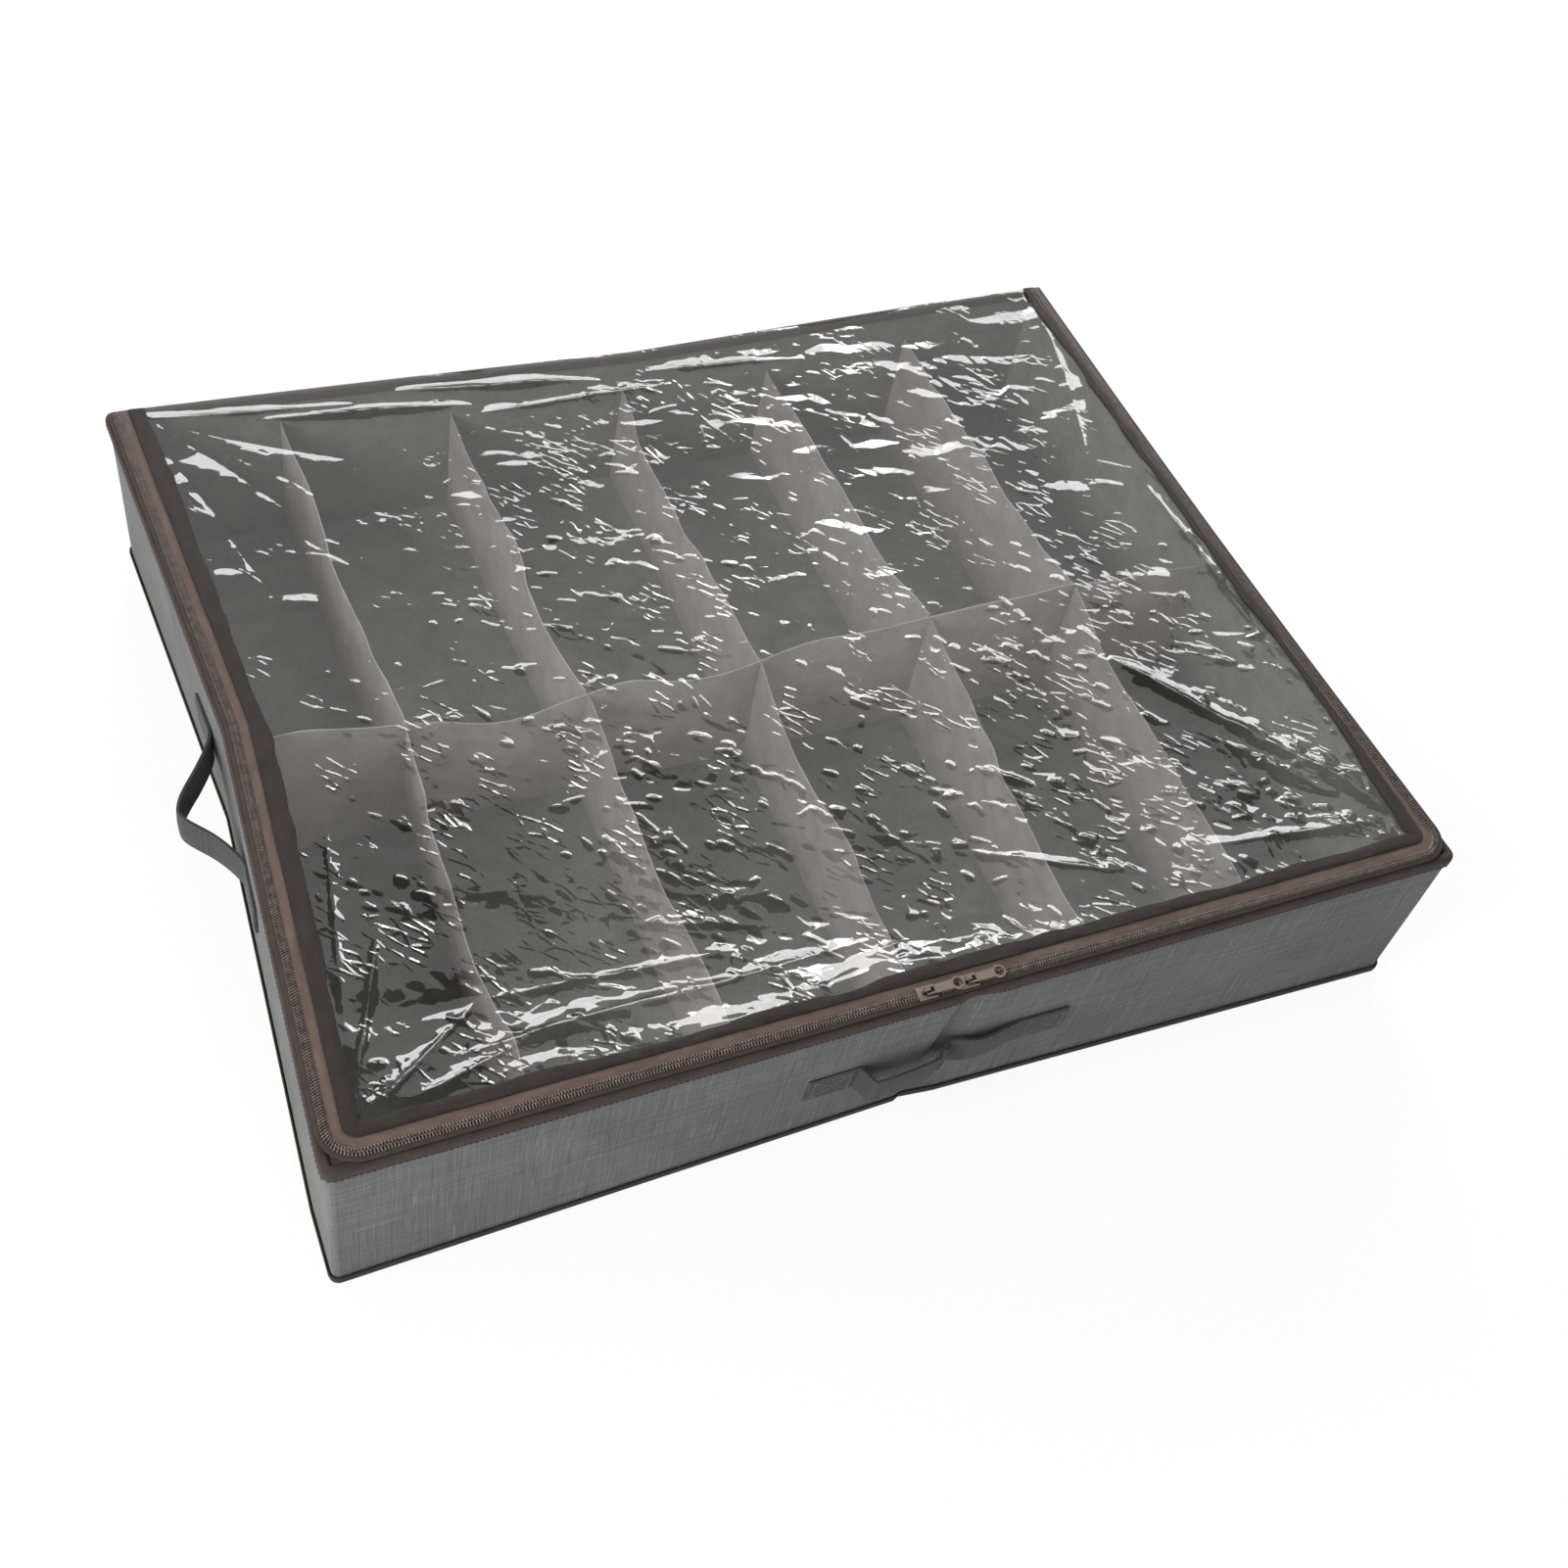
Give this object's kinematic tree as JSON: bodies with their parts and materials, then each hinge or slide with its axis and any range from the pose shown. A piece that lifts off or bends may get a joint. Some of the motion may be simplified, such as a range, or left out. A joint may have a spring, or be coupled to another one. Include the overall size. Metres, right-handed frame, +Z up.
{
  "type": "under bed box",
  "caption": "Flat fabric under bed storage box with cloth dividers, strap handles and a clear film lid that zips shut on three sides and hinges along the back rim.",
  "frame": {"origin": "middle of the underside, on the floor", "axes": "+X to the right along the width, front at -Y, +Z up"},
  "size_m": [0.7726, 0.6135, 0.1408],
  "materials": {
    "linen_fabric": "linen-look weave, matt",
    "lining": "unwoven cloth, matt",
    "board": "grey-brown pressed board",
    "divider_cloth": "unwoven cloth, slightly sheer",
    "rim_binding": "woven tape, matt",
    "dark_binding": "folded unwoven tape, matt",
    "zip_tape": "woven zip tape",
    "zip_coil": "satin spiral coil",
    "clear_film": "clear, glossy, crinkled",
    "slider_metal": "satin paint",
    "strap": "folded linen-look strap, matt"
  },
  "bodies": {
    "box": {"base_panel": "linen_fabric", "base_board_left": "board", "base_board_right": "board", "base_lining": "lining", "front_panel": "linen_fabric", "back_panel": "linen_fabric", "left_panel": "linen_fabric", "right_panel": "linen_fabric", "front_lining": "lining", "back_lining": "lining", "left_lining": "lining", "right_lining": "lining", "front_board_left": "board", "front_board_right": "board", "back_board_left": "board", "back_board_right": "board", "left_board": "board", "right_board": "board", "rim_binding_front": "rim_binding", "rim_binding_back": "rim_binding", "rim_binding_left": "rim_binding", "rim_binding_right": "rim_binding", "base_binding_front": "dark_binding", "base_binding_back": "dark_binding", "base_binding_left": "dark_binding", "base_binding_right": "dark_binding", "centre_divider": "divider_cloth", "rear_divider_1": "divider_cloth", "rear_divider_2": "divider_cloth", "rear_divider_3": "divider_cloth", "rear_divider_4": "divider_cloth", "rear_divider_5": "divider_cloth", "front_divider_1": "divider_cloth", "front_divider_2": "divider_cloth", "front_divider_3": "divider_cloth", "front_divider_4": "divider_cloth", "front_divider_5": "divider_cloth", "front_handle_tab_left": "strap", "front_handle_tab_right": "strap", "left_handle_tab_front": "strap", "left_handle_tab_back": "strap", "right_handle_tab_front": "strap", "right_handle_tab_back": "strap", "lower_zip_tape": "zip_tape", "lower_zip_coil": "zip_coil"},
    "lid": {"lid_film": "clear_film", "lid_binding": "dark_binding", "upper_zip_tape": "zip_tape", "upper_zip_coil": "zip_coil"},
    "slider_left": {"slider_left": "slider_metal"},
    "slider_right": {"slider_right": "slider_metal"},
    "pull_left": {"pull_left": "slider_metal"},
    "pull_right": {"pull_right": "slider_metal"},
    "front_handle": {"front_handle": "strap"},
    "left_handle": {"left_handle": "strap"},
    "right_handle": {"right_handle": "strap"}
  },
  "joints": [
    {"name": "lid_hinge", "type": "hinge", "parent": "box", "child": "lid", "pos_m": [0, 0.2951, 0.1356], "axis": [-1, 0, 0], "range_deg": [0, 180]},
    {"name": "slider_left_slide", "type": "slide", "parent": "box", "child": "slider_left", "axis": [-1, 0, 0], "range_m": [0, 0.31]},
    {"name": "slider_right_slide", "type": "slide", "parent": "box", "child": "slider_right", "axis": [1, 0, 0], "range_m": [0, 0.318]},
    {"name": "pull_left_hinge", "type": "hinge", "parent": "slider_left", "child": "pull_left", "pos_m": [-0.0175, -0.2938, 0.13905], "axis": [0, -1, 0], "range_deg": [0, 150]},
    {"name": "pull_right_hinge", "type": "hinge", "parent": "slider_right", "child": "pull_right", "pos_m": [0.0095, -0.2938, 0.13905], "axis": [0, -1, 0], "range_deg": [0, 150]},
    {"name": "front_handle_hinge", "type": "hinge", "parent": "box", "child": "front_handle", "pos_m": [0.007, -0.2998, 0.0745], "axis": [-1, 0, 0], "range_deg": [0, 90]},
    {"name": "left_handle_hinge", "type": "hinge", "parent": "box", "child": "left_handle", "pos_m": [-0.3648, 0, 0.0745], "axis": [0, 1, 0], "range_deg": [0, 90]},
    {"name": "right_handle_hinge", "type": "hinge", "parent": "box", "child": "right_handle", "pos_m": [0.3648, 0, 0.0745], "axis": [0, -1, 0], "range_deg": [0, 90]}
  ]
}
